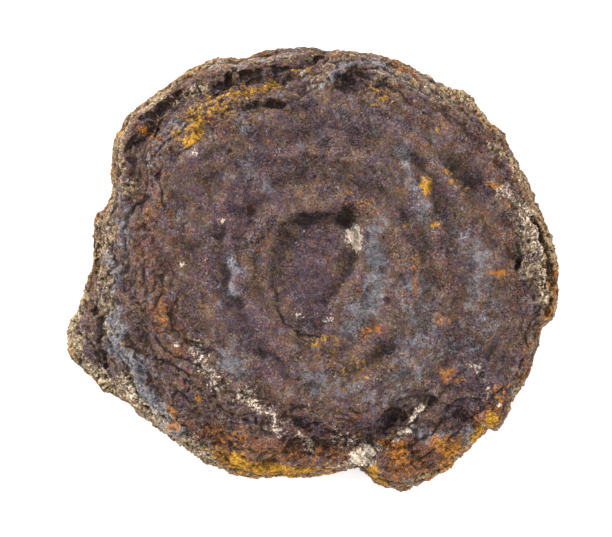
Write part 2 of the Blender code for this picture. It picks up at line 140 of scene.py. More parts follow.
# Where each stain or crust lies on the upper side: for each stroke how dense it is, its half
# breadth and the points it runs through
STAINS = {
    "violet": [
        (1, 3.4, [(0.1, 3.6), (-0.4, -1.9), (0.3, -5.2)]),
        (0.75, 4.9, [(-5.1, 11.1), (-10.2, 4.6), (-9.4, -2.7), (-5.1, -10.0)]),
        (0.62, 3.4, [(-6.0, 14.5), (2.3, 16.7), (10.5, 16.7)]),
        (0.7, 1.7, [(-2.4, 12.7), (4.7, 14.3)]),
        (0.6, 1.7, [(15.6, 8.2), (16.9, 3.3)]),
        # On the lower right this stroke is partly painted shade, as that slope faces away from the
        # light, and partly the violet ore itself
        (1, 2.9, [(17.3, -9.8), (20.5, -12.8), (22.0, -14.9), (19.0, -17.1)]),
        (0.9, 1.8, [(-2.6, -18.9), (4.1, -19.5), (8.9, -18.3)]),
        (0.6, 1.5, [(8.3, -3.7), (11.0, -7.4)]),
        (0.5, 1.7, [(22.9, -2.7), (23.5, -7.6)]),
        (0.6, 2.4, [(-13.6, 8.5), (-13.0, 1.2)]),
        (0.8, 0.9, [(-20.1, -8.2)]),
        (0.5, 2.2, [(-17.5, -7.4), (-12.4, -13.4), (-6.0, -16.5)]),
        (0.45, 1.9, [(-20.9, 4.8), (-19.7, -2.5)]),
    ],
    # Painted sheen: blue-grey where slopes and crests face the light
    "painted_sheen": [
        (0.7, 1.2, [(7.1, 4.8), (8.1, 0.9), (6.9, -3.5), (4.1, -6.8)]),
        (0.8, 0.5, [(6.6, 5.3), (7.1, 0.9), (6.4, -1.9)]),
        (0.5, 1.5, [(10.3, 13.6), (12.2, 9.7), (13.2, 5.8)]),
        (0.6, 0.5, [(10.8, 13.3), (12.5, 8.5)]),
        (0.45, 3.2, [(11.0, -1.5), (13.2, -7.4), (10.0, -13.0)]),
        (0.45, 2.7, [(19.3, 2.1), (20.7, -7.4), (16.9, -9.3)]),
        (0.6, 1, [(-9.3, 1.6), (-9.2, -2.7)]),
        (0.75, 1.6, [(-9.9, -9.8), (-8.7, -12.5)]),
        (0.5, 1, [(-8.7, 18.2), (-7.5, 15.5)]),
        (0.45, 1.2, [(4.1, 18.2), (7.8, 17.2)]),
        (0.6, 1.1, [(-23.9, 2.4), (-23.5, -2.5)]),
        (0.5, 1, [(-23.5, 9.3)]),
        (1, 1.3, [(-23.5, -5.9), (-23.1, -9.3), (-21.4, -11.5), (-19.7, -14.4)]),
        (1, 1.2, [(-19.4, -14.9), (-17.7, -17.1), (-15.8, -19.3)]),
        (0.7, 1.2, [(12.2, -19.5), (15.6, -20.3)]),
        (0.5, 1.5, [(-18.4, 19.2)]),
        (0.4, 1.5, [(-7.5, 12.4), (-5.8, 9.4)]),
        (0.42, 1.7, [(-1.4, -12.2), (3.5, -13.4), (8.3, -15.6)]),
        (0.6, 0.6, [(8.9, 24.3), (6.1, 24.8), (4.1, 24.3), (2.5, 23.1), (1.0, 21.1)]),
        (0.6, 0.9, [(18.6, -19.5), (18.3, -22.7)]),
        (0.5, 1, [(10.5, -25.9), (12.5, -26.1)]),
        (0.5, 1, [(-12.1, 24.3), (-6.8, 25.5), (-1.4, 26.0)]),
        (0.4, 1.2, [(8.8, 23.3), (14.9, 20.9)]),
        (0.45, 1.1, [(-23.1, 8.5), (-22.3, 3.6)]),
        (0.4, 1.2, [(-16.0, 17.6), (-19.7, 13.3)]),
    ],
    "russet": [
        (0.5, 3.7, [(-19.4, 8.7), (-18.9, 2.4), (-18.0, -3.7), (-15.8, -8.6)]),
        (0.62, 1.1, [(-17.7, -2.5), (-16.2, -7.4), (-15.3, -10.0)]),
        (0.45, 1.5, [(-24.5, 8.5), (-24.3, -1.5)]),
        (0.75, 1.1, [(-20.1, 18.0), (-18.4, 19.7), (-17.0, 20.9), (-15.0, 21.6)]),
        (0.65, 2.4, [(-15.0, -18.8), (-8.7, -20.5), (0.1, -20.7), (4.7, -18.3)]),
        (1, 2.9, [(10.5, -22.7), (15.6, -22.0)]),
        (0.7, 1.5, [(19.3, 19.2), (22.9, 14.5), (26.6, 7.2), (28.4, 1.2), (29.0, -3.7)]),
        (0.5, 1.1, [(-2.6, 25.3), (2.3, 26.5), (7.4, 25.3)]),
        (0.45, 1.9, [(14.2, 19.4), (19.3, 15.8), (22.9, 9.7)]),
        (0.75, 0.6, [(-12.8, 17.7), (-9.7, 17.2)]),
        (0.45, 2.4, [(15.6, 0.9), (16.9, -4.0)]),
        (0.5, 1.9, [(22.9, 4.8), (24.2, -3.7)]),
        (0.6, 1, [(6.1, -6.9), (9.6, -7.4)]),
        (0.5, 1.7, [(-7.5, -15.9), (-1.4, -16.5)]),
        (0.5, 1, [(-6.0, 8.9), (-8.7, 4.1)]),
        (0.55, 1.2, [(7.8, -24.4), (9.8, -25.6)]),
    ],
    "orange": [
        (0.85, 0.7, [(-20.1, 16.5)]),
        (0.6, 0.7, [(-17.0, -16.4), (-16.0, -18.3)]),
        (1, 0.4, [(-13.4, -15.4)]),
        (0.6, 1.3, [(-10.4, -22.2), (-6.0, -24.2), (-0.9, -24.4)]),
        (0.42, 2.2, [(-11.1, -19.5), (-3.8, -21.7), (4.7, -22.2)]),
        (1, 1.1, [(14.9, -20.7), (17.6, -22.0), (16.1, -23.9)]),
        (0.45, 1.5, [(9.3, -22.2), (11.0, -24.4), (14.4, -24.4)]),
        (0.7, 1, [(8.8, -20.7), (11.0, -22.7)]),
        (0.85, 0.7, [(28.8, 0.2), (29.1, -3.5), (28.7, -5.7)]),
        (0.7, 0.7, [(27.1, 6.3), (28.4, 2.4)]),
        (0.85, 0.6, [(21.0, 10.2), (22.2, 9.7)]),
        (0.85, 0.6, [(22.0, 17.1)]),
        (0.6, 0.7, [(19.8, 18.0), (20.5, 19.7)]),
        (0.6, 0.5, [(11.6, 22.1)]),
        (0.95, 0.4, [(21.7, -0.4), (22.8, -0.9)]),
        (0.5, 0.6, [(5.7, -7.4), (8.1, -6.9)]),
        (0.55, 0.6, [(15.4, -6.0), (17.1, -5.4)]),
        (0.85, 0.6, [(-29.5, -8.6), (-29.4, -10.5)]),
        (0.85, 0.7, [(21.4, -16.1), (20.3, -19.0)]),
        (0.65, 0.6, [(23.5, 7.2)]),
        (0.5, 1, [(17.1, -12.5), (15.4, -13.0)]),
        (0.5, 0.7, [(-19.0, 6.6)]),
        (0.5, 0.7, [(-18.1, -3.7), (-17.7, -6.4)]),
        (0.45, 1, [(12.0, 1.2), (12.2, -2.7)]),
        (0.42, 1.7, [(25.4, 9.7), (27.8, 3.6), (28.5, -2.5)]),
        (0.5, 1, [(-17.7, 14.5), (-18.7, 15.8)]),
        (0.3, 1.2, [(3.5, 8.9), (6.6, 7.7)]),
        (0.5, 1.5, [(19.3, -18.3), (22.5, -14.7)]),
    ],
    "ochre": [
        (0.75, 0.7, [(-15.2, 14.8), (-13.6, 15.9), (-13.1, 17.7)]),
        (0.95, 0.4, [(-14.8, 14.8), (-14.1, 15.5)]),
        (0.7, 0.7, [(-9.7, 21.1), (-6.8, 22.0), (-4.3, 22.5)]),
        (0.42, 1.7, [(-16.0, 16.6), (-12.4, 18.9), (-8.5, 20.9)]),
        (1, 0.6, [(13.4, 10.6), (13.6, 9.4)]),
        (1, 0.5, [(14.7, 5.2)]),
        (0.6, 1, [(8.0, 20.5)]),
        (0.6, 0.4, [(-0.2, -8.8), (1.3, -8.2), (3.0, -8.1)]),
        (1, 1.1, [(-9.4, -22.9), (-7.7, -23.7), (-6.0, -24.4)]),
        (1, 1, [(-4.1, -24.2), (-2.4, -24.8), (-0.7, -24.6)]),
        (0.45, 1.3, [(-12.6, -21.5), (-7.5, -23.2), (1.3, -24.9)]),
        (0.95, 0.7, [(6.9, -23.4), (7.4, -24.9), (8.6, -26.1)]),
        (0.9, 0.9, [(19.8, -20.3), (20.7, -18.6), (21.5, -17.1)]),
        (0.5, 0.5, [(-27.2, 4.1), (-26.5, 0.9)]),
        (0.5, 0.6, [(15.6, 11.4), (17.6, 9.9)]),
        (0.5, 0.5, [(-1.9, 23.8), (-0.4, 24.0)]),
        (0.3, 2.4, [(2.3, -10.5), (7.1, -12.2)]),
        (0.4, 1, [(15.2, 17.0)]),
        (0.45, 0.6, [(-13.1, -24.4), (-10.9, -24.2)]),
        (0.5, 0.6, [(15.6, -20.7), (17.1, -22.2)]),
        (0.4, 0.6, [(-29.1, -9.2), (-28.9, -11.3)]),
    ],
    "sand": [
        (0.5, 1.6, [(-25.3, 9.9), (-24.5, 5.8), (-25.0, 0.9), (-24.8, -4.0), (-24.3, -7.6)]),
        (0.7, 1, [(-26.7, 3.6), (-27.7, -2.5), (-28.7, -6.9)]),
        (0.9, 1.6, [(-27.4, -12.2), (-24.3, -15.2), (-21.4, -17.3), (-18.4, -20.7), (-14.8, -23.2),
            (-11.6, -24.4)]),
        (0.6, 1.1, [(-22.3, -13.0), (-19.7, -16.4), (-16.5, -19.8), (-11.6, -21.5)]),
        (0.6, 1.1, [(-23.5, 15.0), (-22.1, 17.7), (-19.7, 20.4), (-16.5, 23.1)]),
        (0.5, 1.1, [(-23.3, 13.3), (-22.3, 9.7)]),
        (0.75, 0.5, [(-16.5, 20.1), (-14.8, 20.9), (-12.8, 21.8)]),
        (0.3, 0.9, [(-11.7, 24.0), (-7.5, 25.0), (-2.6, 25.5)]),
        (0.35, 1, [(-0.7, 25.5), (2.3, 24.0)]),
        (0.42, 1.1, [(8.3, 23.1), (13.2, 21.6), (17.1, 19.4)]),
        (0.6, 1.2, [(22.5, 14.5), (26.0, 9.7), (27.8, 4.8)]),
        (0.75, 0.7, [(27.1, 4.6), (27.3, -3.7)]),
        (0.45, 1.5, [(24.8, 8.5), (25.6, -0.1)]),
        (0.6, 0.6, [(27.8, -8.1), (25.9, -13.0), (22.7, -19.5)]),
        (0.75, 1.2, [(-28.9, -6.4), (-28.4, -10.0)]),
        (0.3, 1, [(-6.8, 25.5), (-9.9, 23.8)]),
        (0.5, 1, [(-25.3, 12.1), (-24.3, 7.7)]),
        (0.3, 0.9, [(0.5, 23.1), (-1.4, 19.7)]),
    ],
    "white": [
        (1, 0.8, [(4.7, 4.3), (5.1, 2.7)]),
        (1, 0.4, [(-1.6, -5.5)]),
        (0.42, 1.1, [(-14.1, -8.8), (-12.6, -10.5), (-11.0, -13.8)]),
        (0.5, 1.1, [(-7.7, -14.9), (-5.5, -16.4), (-3.6, -18.6)]),
        (0.7, 0.6, [(-1.2, -19.8), (-0.4, -21.2)]),
        (1, 1.1, [(4.7, -22.7), (6.6, -22.2)]),
        (0.7, 0.7, [(8.1, -21.5)]),
        (0.5, 1, [(3.2, -23.4)]),
        (0.85, 0.5, [(9.8, -20.5), (11.5, -19.2)]),
        (0.75, 0.5, [(11.9, -17.8), (13.0, -16.4)]),
        (0.4, 0.7, [(19.3, -11.5), (20.1, -12.7), (20.7, -14.7)]),
        (1, 0.3, [(22.3, -15.8)]),
        (1, 0.3, [(-13.6, 13.9)]),
        (1, 0.3, [(-15.9, -8.7)]),
        (1, 0.3, [(-15.3, 0.7)]),
        (1, 0.3, [(-14.3, -2.1)]),
        (1, 0.3, [(-10.4, 5.9)]),
        (0.45, 0.6, [(-15.2, 20.6), (-13.0, 21.8)]),
        (0.6, 0.4, [(-0.9, 23.7)]),
        (0.42, 1.1, [(22.9, 8.9), (25.6, 6.8), (26.6, 2.4)]),
        (0.7, 0.5, [(-4.6, -17.6)]),
        (0.9, 0.3, [(4.7, -20.7)]),
        (0.5, 0.7, [(27.1, 3.6), (27.1, 0.9)]),
        (0.45, 0.5, [(1.6, -5.9), (2.5, -5.4)]),
        (0.5, 0.7, [(-22.1, -13.9), (-19.9, -16.4)]),
        (0.4, 1, [(-25.7, -12.5), (-23.3, -14.4)]),
        (0.5, 0.6, [(-14.1, -22.0), (-11.6, -22.7)]),
        (0.35, 1, [(2.3, -18.3), (3.5, -20.7)]),
    ],
    # Painted shade in furrows, crevices, under the steps of the sink and the trough, and on the
    # lower right that faces away from the light, with a few manganese-black patches
    "painted_shade_and_manganese": [
        (0.45, 2.4, [(17.1, -9.8), (20.5, -13.2), (20.3, -16.1)]),
        (0.55, 0.4, [(-19.9, 18.4), (-18.4, 19.9), (-17.2, 20.9), (-15.5, 21.5)]),
        (0.6, 0.7, [(16.4, 11.6), (19.3, 10.2)]),
        (0.7, 0.4, [(-2.4, 6.5), (1.0, 6.5), (4.1, 6.8), (5.4, 6.1)]),
        (0.75, 0.4, [(6.3, 5.1), (6.5, 3.1), (6.1, 1.6)]),
        (0.6, 0.6, [(10.0, -17.7), (14.4, -15.9)]),
        (0.5, 0.5, [(-3.3, -17.8), (4.2, -20.5), (9.8, -21.5)]),
        (0.6, 0.3, [(-7.6, 19.5), (-3.1, 19.5)]),
        (0.4, 0.2, [(-4.6, -1.9), (-3.3, -5.9), (-1.4, -7.7), (1.3, -8.1)]),
        (0.6, 0.4, [(-9.2, 3.6), (-6.0, 3.2)]),
        (0.5, 0.7, [(-1.4, 13.3), (4.1, 13.3)]),
        (0.8, 0.5, [(-25.5, -6.4), (-25.4, -9.2), (-24.8, -11.3)]),
        (0.75, 0.5, [(-22.3, -11.7), (-20.9, -14.2)]),
        (0.7, 0.4, [(-19.7, -16.6), (-18.4, -18.1), (-17.0, -20.3)]),
        (0.5, 0.2, [(-8.0, 23.2), (-1.6, 24.0)]),
        (0.6, 0.4, [(-13.6, 21.0), (-9.9, 22.3), (-9.2, 23.8)]),
        (0.7, 0.2, [(24.5, 3.1), (24.6, -0.5)]),
        (0.7, 0.3, [(-26.2, 6.5), (-26.5, -0.7)]),
    ],
}

# How dense each stain is away from its strokes: on the upper side, and on the rim and underside
ELSEWHERE = {
    "violet": (0.46, 0.20), "painted_sheen": (0.12, 0.18), "russet": (0.24, 0.48), "orange": (0.08, 0.26),
    "ochre": (0.03, 0.14), "sand": (0.02, 0.38), "white": (0.0, 0.06), "painted_shade_and_manganese": (0.06, 0.12),
}

CAVITY_PASSES = (4, 40)  # rounds of averaging that find the narrow and the broad hollows


def linear(hex_colour):
    """An sRGB colour such as #c08040 as linear red, green and blue."""
    shares = [int(hex_colour[i : i + 2], 16) / 255 for i in (1, 3, 5)]
    return [c / 12.92 if c <= 0.04045 else ((c + 0.055) / 1.055) ** 2.4 for c in shares]


class LakeOreSettings(bpy.types.PropertyGroup):
    """Sizes and colours of the dressed stone."""

    cell: FloatProperty(
        name="Mesh cell", description="Spacing of the crust's first, even mesh",
        default=0.156 * MM, unit="LENGTH",
    )
    triangles: IntProperty(
        name="Triangles", description="Most triangles that the crust keeps", default=197000,
    )
    lump_size: FloatProperty(
        name="Lump size", description="Width of the crust's small lumps",
        default=2.2 * MM, unit="LENGTH",
    )
    lump_height: FloatProperty(
        name="Lump height", description="Height of those lumps", default=0.28 * MM, unit="LENGTH",
    )
    ring_width: FloatProperty(
        name="Ring width", description="Breadth of the growth rings near the rim",
        default=2.6 * MM, unit="LENGTH",
    )
    ring_height: FloatProperty(
        name="Ring height", description="Height of those rings", default=0.50 * MM, unit="LENGTH",
    )
    streak_height: FloatProperty(
        name="Streak height", description="Height of the fine streaks along the rings",
        default=0.26 * MM, unit="LENGTH",
    )
    gap_size: FloatProperty(
        name="Gap size", description="Width of the gaps in the porous crust",
        default=1.1 * MM, unit="LENGTH",
    )
    gap_depth: FloatProperty(
        name="Gap depth", description="Depth of those gaps", default=0.7 * MM, unit="LENGTH",
    )
    grain_size: FloatProperty(
        name="Grain size", description="Width of the ore's own grains",
        default=0.6 * MM, unit="LENGTH",
    )
    grain_height: FloatProperty(
        name="Grain height", description="Height of those grains", default=0.11 * MM, unit="LENGTH",
    )
    bed_thickness: FloatProperty(
        name="Bed thickness", description="Thickness of the fine beds in the walls",
        default=0.8 * MM, unit="LENGTH",
    )
    bed_depth: FloatProperty(
        name="Bed depth", description="How far those beds stand out", default=0.4 * MM,
        unit="LENGTH",
    )
    umber: FloatVectorProperty(
        name="Ore", description="Limonite where it is bare", subtype="COLOR",
        default=linear("#574539"),
    )
    violet: FloatVectorProperty(
        name="Violet ore", description="Limonite with manganese, in the smooth hollows",
        subtype="COLOR", default=linear("#4a3944"),
    )
    # Painted sheen: a blue-grey laid into the colour where slopes and crests face the light
    painted_sheen: FloatVectorProperty(
        name="Blue-grey painted sheen", description="Thin manganese film on worn crests", subtype="COLOR",
        default=linear("#74757b"),
    )
    russet: FloatVectorProperty(
        name="Russet", description="Red-brown iron oxide", subtype="COLOR",
        default=linear("#5e3622"),
    )
    orange: FloatVectorProperty(
        name="Orange rust", description="Fresh orange iron oxide", subtype="COLOR",
        default=linear("#a0641e"),
    )
    ochre: FloatVectorProperty(
        name="Ochre", description="Powdery yellow limonite", subtype="COLOR",
        default=linear("#aa7c24"),
    )
    sand: FloatVectorProperty(
        name="Sandy crust", description="Sand and silt grown into the crust", subtype="COLOR",
        default=linear("#9f8c6b"),
    )
    white: FloatVectorProperty(
        name="Pale crust", description="Chalky crust", subtype="COLOR",
        default=linear("#cbbaa6"),
    )
    # This colour is painted shade in pores, furrows and crevices, and the colour of a few
    # manganese-black patches
    painted_shade_and_manganese: FloatVectorProperty(
        name="Hollows", description="Ore in pores and crevices", subtype="COLOR",
        default=linear("#1d1414"),
    )


def ease(value, low, high):
    """0 below low, 1 above high, and a smooth rise between them."""
    t = np.clip((value - low) / (high - low), 0, 1)
    return t * t * (3 - 2 * t)


def bell(distance, breadth):
    """1 at no distance, falling to nothing by about twice the breadth."""
    return np.exp(-((distance / breadth) ** 2))


def away_from(path, spots):
    """How far each spot is from the nearest stretch of the path."""
    ends = path[1:] if len(path) > 1 else path
    nearest = np.full(len(spots), np.inf)
    for start, end in zip(np.array(path, float), np.array(ends, float)):
        run = end - start
        off = spots - start
        along = np.clip(off @ run / max(run @ run, 1e-9), 0, 1)
        nearest = np.minimum(nearest, ((off - along[:, None] * run) ** 2).sum(axis=1))
    return np.sqrt(nearest)


def inside(loop, spots):
    """Whether each spot lies inside the closed loop."""
    found = np.zeros(len(spots), bool)
    x, y = spots.T
    for (x0, y0), (x1, y1) in zip(loop, loop[1:] + loop[:1]):
        if y0 == y1:
            continue
        crosses = (y0 > y) != (y1 > y)
        found ^= crosses & (x < x0 + (y - y0) * (x1 - x0) / (y1 - y0))
    return found


def rows_of(items, layer):
    """A layer of three numbers an item, such as "co", as an array with a row for each."""
    values = np.empty(len(items) * 3)
    items.foreach_get(layer, values)
    return values.reshape(-1, 3)


def keep_attribute(mesh, name, values):
    """Stores one number a vertex under that name."""
    layer = mesh.attributes.new(name, "FLOAT", "POINT")
    layer.data.foreach_set("value", values.astype(np.float32))


def add(tree, kind, inputs=None, **settings):
    """Adds a node with its settings. An input is a value, a socket, or a node's first output."""
    node = tree.nodes.new(kind)
    for name, value in settings.items():
        setattr(node, name, value)
    for key, value in (inputs or {}).items():
        if isinstance(value, bpy.types.Node):
            value = value.outputs[0]
        if isinstance(value, bpy.types.NodeSocket):
            tree.links.new(value, node.inputs[key])
        else:
            node.inputs[key].default_value = value
    return node


def evaluated(obj, name):
    """The object's mesh with its modifiers applied, as a new mesh of that name."""
    graph = bpy.context.evaluated_depsgraph_get()
    mesh = bpy.data.meshes.new_from_object(obj.evaluated_get(graph))
    mesh.name = name
    return mesh


def linked(name, mesh):
    """Puts the mesh into the scene as an object of that name."""
    obj = bpy.data.objects.new(name, mesh)
    bpy.context.scene.collection.objects.link(obj)
    return obj


def fine_skin(settings):
    """The solid's own shape as one closed fine mesh with its facets smoothed away."""
    mesh = bmesh.new()
    mesh.from_mesh(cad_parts[STONE].data)
    bmesh.ops.remove_doubles(mesh, verts=mesh.verts, dist=0.001 * MM)
    joined = bpy.data.meshes.new("joined")
    mesh.to_mesh(joined)
    mesh.free()
    obj = linked("skin", joined)
    smooth = obj.modifiers.new("smooth", "SUBSURF")
    smooth.levels = smooth.render_levels = 2
    grid = obj.modifiers.new("grid", "REMESH")
    grid.mode = "VOXEL"
    grid.voxel_size = settings.cell
    skin = evaluated(obj, "skin")
    bpy.data.objects.remove(obj)
    return skin


STRAY_SEED = 1  # without a seed, Blender draws its vector noise from the clock


def straying(points, size):
    """A step to the side for each point, from noise of that size, so that no drawn edge shows."""
    noise.seed_set(STRAY_SEED)
    return np.array([noise.noise_vector(Vector(point) / size) for point in points])[:, :2]


def growth_of(points):
    """How far out each point lies along the growth rings, which follow the outline."""
    sectors = 180
    radius = np.hypot(points[:, 0], points[:, 1])
    turn = np.arctan2(points[:, 1], points[:, 0]) / math.tau * sectors
    reach = np.zeros(sectors)
    np.maximum.at(reach, np.floor(turn).astype(int) % sectors, radius)
    reach = (reach + np.roll(reach, 1) + np.roll(reach, -1)) / 3
    edge = np.interp(turn - 0.5, np.arange(sectors), reach, period=sectors)
    return OUTLINE_GROWTH * radius / edge


def fill_grooves(points, plan, up, growth):
    """Lifts the grooves of the solid towards their lips."""
    for share, breadth, path in FILLED:
        off = away_from(path, plan)
        lip = np.percentile(points[(off < 1.5 * breadth) & (up > 0), 2], LIP_PERCENTILE)
        missing = np.clip(lip - points[:, 2], 0, None)
        missing[missing > DEEPEST_GROOVE] = 0
        points[:, 2] += share * missing * bell(off, breadth) * (1 - ease(growth, *FILL_ENDS))


def carving(points, spots):
    """How far furrows, crests and pits raise each point, and how porous the furrows make it."""
    broken = np.array([noise.noise(Vector(point) / 1.7) for point in points])
    broken = np.clip(0.8 + 2.2 * broken, 0.1, 1.6)
    height = np.zeros(len(points))
    porous = np.zeros(len(points))
    for breadth, depth, path in FURROWS:
        off = away_from(path, spots)
        height -= depth * bell(off, breadth) * broken
        porous = np.maximum(porous, min(depth, POROUS_MOST) * bell(off, POROUS_BREADTH))
    for breadth, rise, path in CRESTS:
        height += rise * bell(away_from(path, spots), breadth) * broken
    # A pit has a flat floor, and a low lip that stands round it
    for x, y, radius, depth in PITS:
        off = away_from([(x, y)], spots)
        height -= depth * (1 - ease(off, 0.3 * radius, 1.2 * radius))
        height += 0.3 * depth * bell(off - 1.5 * radius, 0.4 * radius)
    return height, porous


def carve(skin):
    """Carves what has a place of its own, and marks where the crust is rough, porous or stained."""
    points = rows_of(skin.vertices, "co") / MM
    normals = rows_of(skin.vertex_normals, "vector")
    up = normals[:, 2]
    plan = points[:, :2].copy()
    fine_stray = 0.4 * straying(points, 1.6) + 0.25 * straying(points, 0.6)
    broad_stray = straying(points, 2.4)
    spots = plan + fine_stray
    growth = growth_of(points)
    upward = ease(up, 0.0, 0.6)
    rim = ease(growth, *RIM_STARTS)
    # The upper side ends where the rim falls away, steep or low down
    face = ease(points[:, 2], 3.0, 7.0) * ease(up, 0.0, 0.4)
    above = ease(up, -0.4, 0.0) * (1 - rim * (1 - face))
    fill_grooves(points, plan, up, growth)
    height, porous = carving(points, spots)
    height = height * upward + RIM_GROWTH * rim * ease(points[:, 2], 0.5, 3.0)
    points += normals * height[:, None]
    skin.vertices.foreach_set("co", (points * MM).ravel())

    face_loop = WORN_FACE + WORN_FACE[:1]
    depth_in = away_from(face_loop, spots) * np.where(inside(WORN_FACE, spots), 1, -1)
    worn = ease(depth_in, -WORN_FADE, WORN_FADE) * upward
    keep_attribute(skin, "growth", growth * MM)
    keep_attribute(skin, "rough", 1 - worn)
    keep_attribute(skin, "wall", 1 - ease(np.abs(up), 0.35, 0.8))
    # The stains, painted sheen and painted shade among them: by their strokes on the upper side, in
    # clouds on the rim and the underside
    aside = np.maximum(1 - above, ease(growth, 24.6, 26.6))
    for order, (name, strokes) in enumerate(STAINS.items()):
        cover = np.zeros(len(points))
        for share, breadth, path in strokes:
            led = plan + min(breadth, 1.3) * broad_stray + fine_stray
            cover = np.maximum(cover, share * bell(away_from(path, led), breadth))
        if name == "sand":
            keep_attribute(skin, "flecked", cover * above)
        apart = Vector((0.0, 0.0, 9.0 * order))
        clouds = np.array([noise.fractal(Vector(point) / 4.0 + apart, 0.9, 2.1, 3)
                           for point in points])
        everywhere, sides = ELSEWHERE[name]
        sides = sides * np.clip(1 + 1.6 * clouds, 0.0, 2.4)
        cover = np.maximum(cover * above, everywhere + (sides - everywhere) * aside)
        keep_attribute(skin, name, cover)
        if name == "sand":
            keep_attribute(skin, "porous", np.maximum(porous * (growth > POROUS_GROWTH), cover))
    skin.update()


def new_tree(name, inputs):
    """A Geometry Nodes tree with inputs of those names and kinds, and one output."""
    tree = bpy.data.node_groups.new(name, "GeometryNodeTree")
    for title, kind in inputs.items():
        tree.interface.new_socket(title, in_out="INPUT", socket_type="NodeSocket" + kind)
    tree.interface.new_socket("Geometry", in_out="OUTPUT", socket_type="NodeSocketGeometry")
    return tree


def end_tree(tree, geometry, material):
    """Ends the tree with real geometry of that material."""
    solid = add(tree, "GeometryNodeRealizeInstances", {"Geometry": geometry})
    dressed = add(tree, "GeometryNodeSetMaterial", {"Geometry": solid, "Material": material})
    add(tree, "NodeGroupOutput", {"Geometry": dressed})


RELIEF_SIZES = (
    "Lump size", "Lump height", "Ring width", "Ring height", "Streak height", "Gap size",
    "Gap depth", "Grain size", "Grain height", "Bed thickness", "Bed depth",
)

# Noises that the relief is made from: name, the size it follows, how many lie in that size, or in
# a metre where it follows none, detail, roughness and seed
CLOUDS = [
    ("lumps", "Lump size", 1.0, 4.0, 0.60, 2.0),
    ("swells", "Lump size", 0.42, 2.0, 0.50, 3.0),
    ("gaps", "Gap size", 1.0, 4.0, 0.65, 4.0),
    ("fine gaps", "Gap size", 2.2, 3.0, 0.6, 8.0),
    ("patches", None, 170.0, 3.0, 0.50, 1.0),
    ("bend", None, 260.0, 3.0, 0.50, 7.0),
    ("wander", None, 150.0, 4.0, 0.50, 5.0),
]

# Forms of the relief: the source, its low and high, the rise at each, the share left on the worn
# face, the height it scales with, and where it grows
FORMS = [
    ("lumps", 0.3, 0.7, -0.6, 0.4, 0.45, "Lump height", None),
    ("swells", 0.3, 0.7, -1.0, 0.7, 0.42, "Lump height", None),
    ("rolls", 0.0, 0.76, -0.9, 0.1, 0.20, "Ring height", "patchy"),
    ("streaks", 0.34, 0.66, -0.7, 0.3, 0.20, "Streak height", None),
    ("gaps", 0.40, 0.48, -1.0, 0.0, 0.0, "Gap depth", "porous"),
    ("fine gaps", 0.38, 0.50, -0.5, 0.1, 0.0, "Gap depth", "porous"),
    ("grains", 0.1, 0.7, 0.5, -0.5, 0.30, "Grain height", None),
    ("pores", 0.0, 1.0, 0.0, -2.2, 0.5, "Grain height", None),
    ("beds", 0.35, 0.65, -0.7, 0.3, 0.0, "Bed depth", "wall"),
]
RING_WANDER = 3.0  # how far the rings stray, in their widths
ROUND_SCALE = 4.5  # how often streaks and beds change on the way round the stone
STREAK_BEND = 7.0  # how far streaks stray from the rings, in millimetres
STREAK_RISE = 3.0  # the height in which the streaks change, in millimetres
STIR_SCALE = 1500.0  # how many bends a grain's outline has in a metre
STIR_REACH = 1.6  # how far they reach, in millimetres
PORE_CELLS = 0.36  # how many cells that may hold a pore lie in a grain's width
PORE_SHARE = 0.22  # the share of them that do


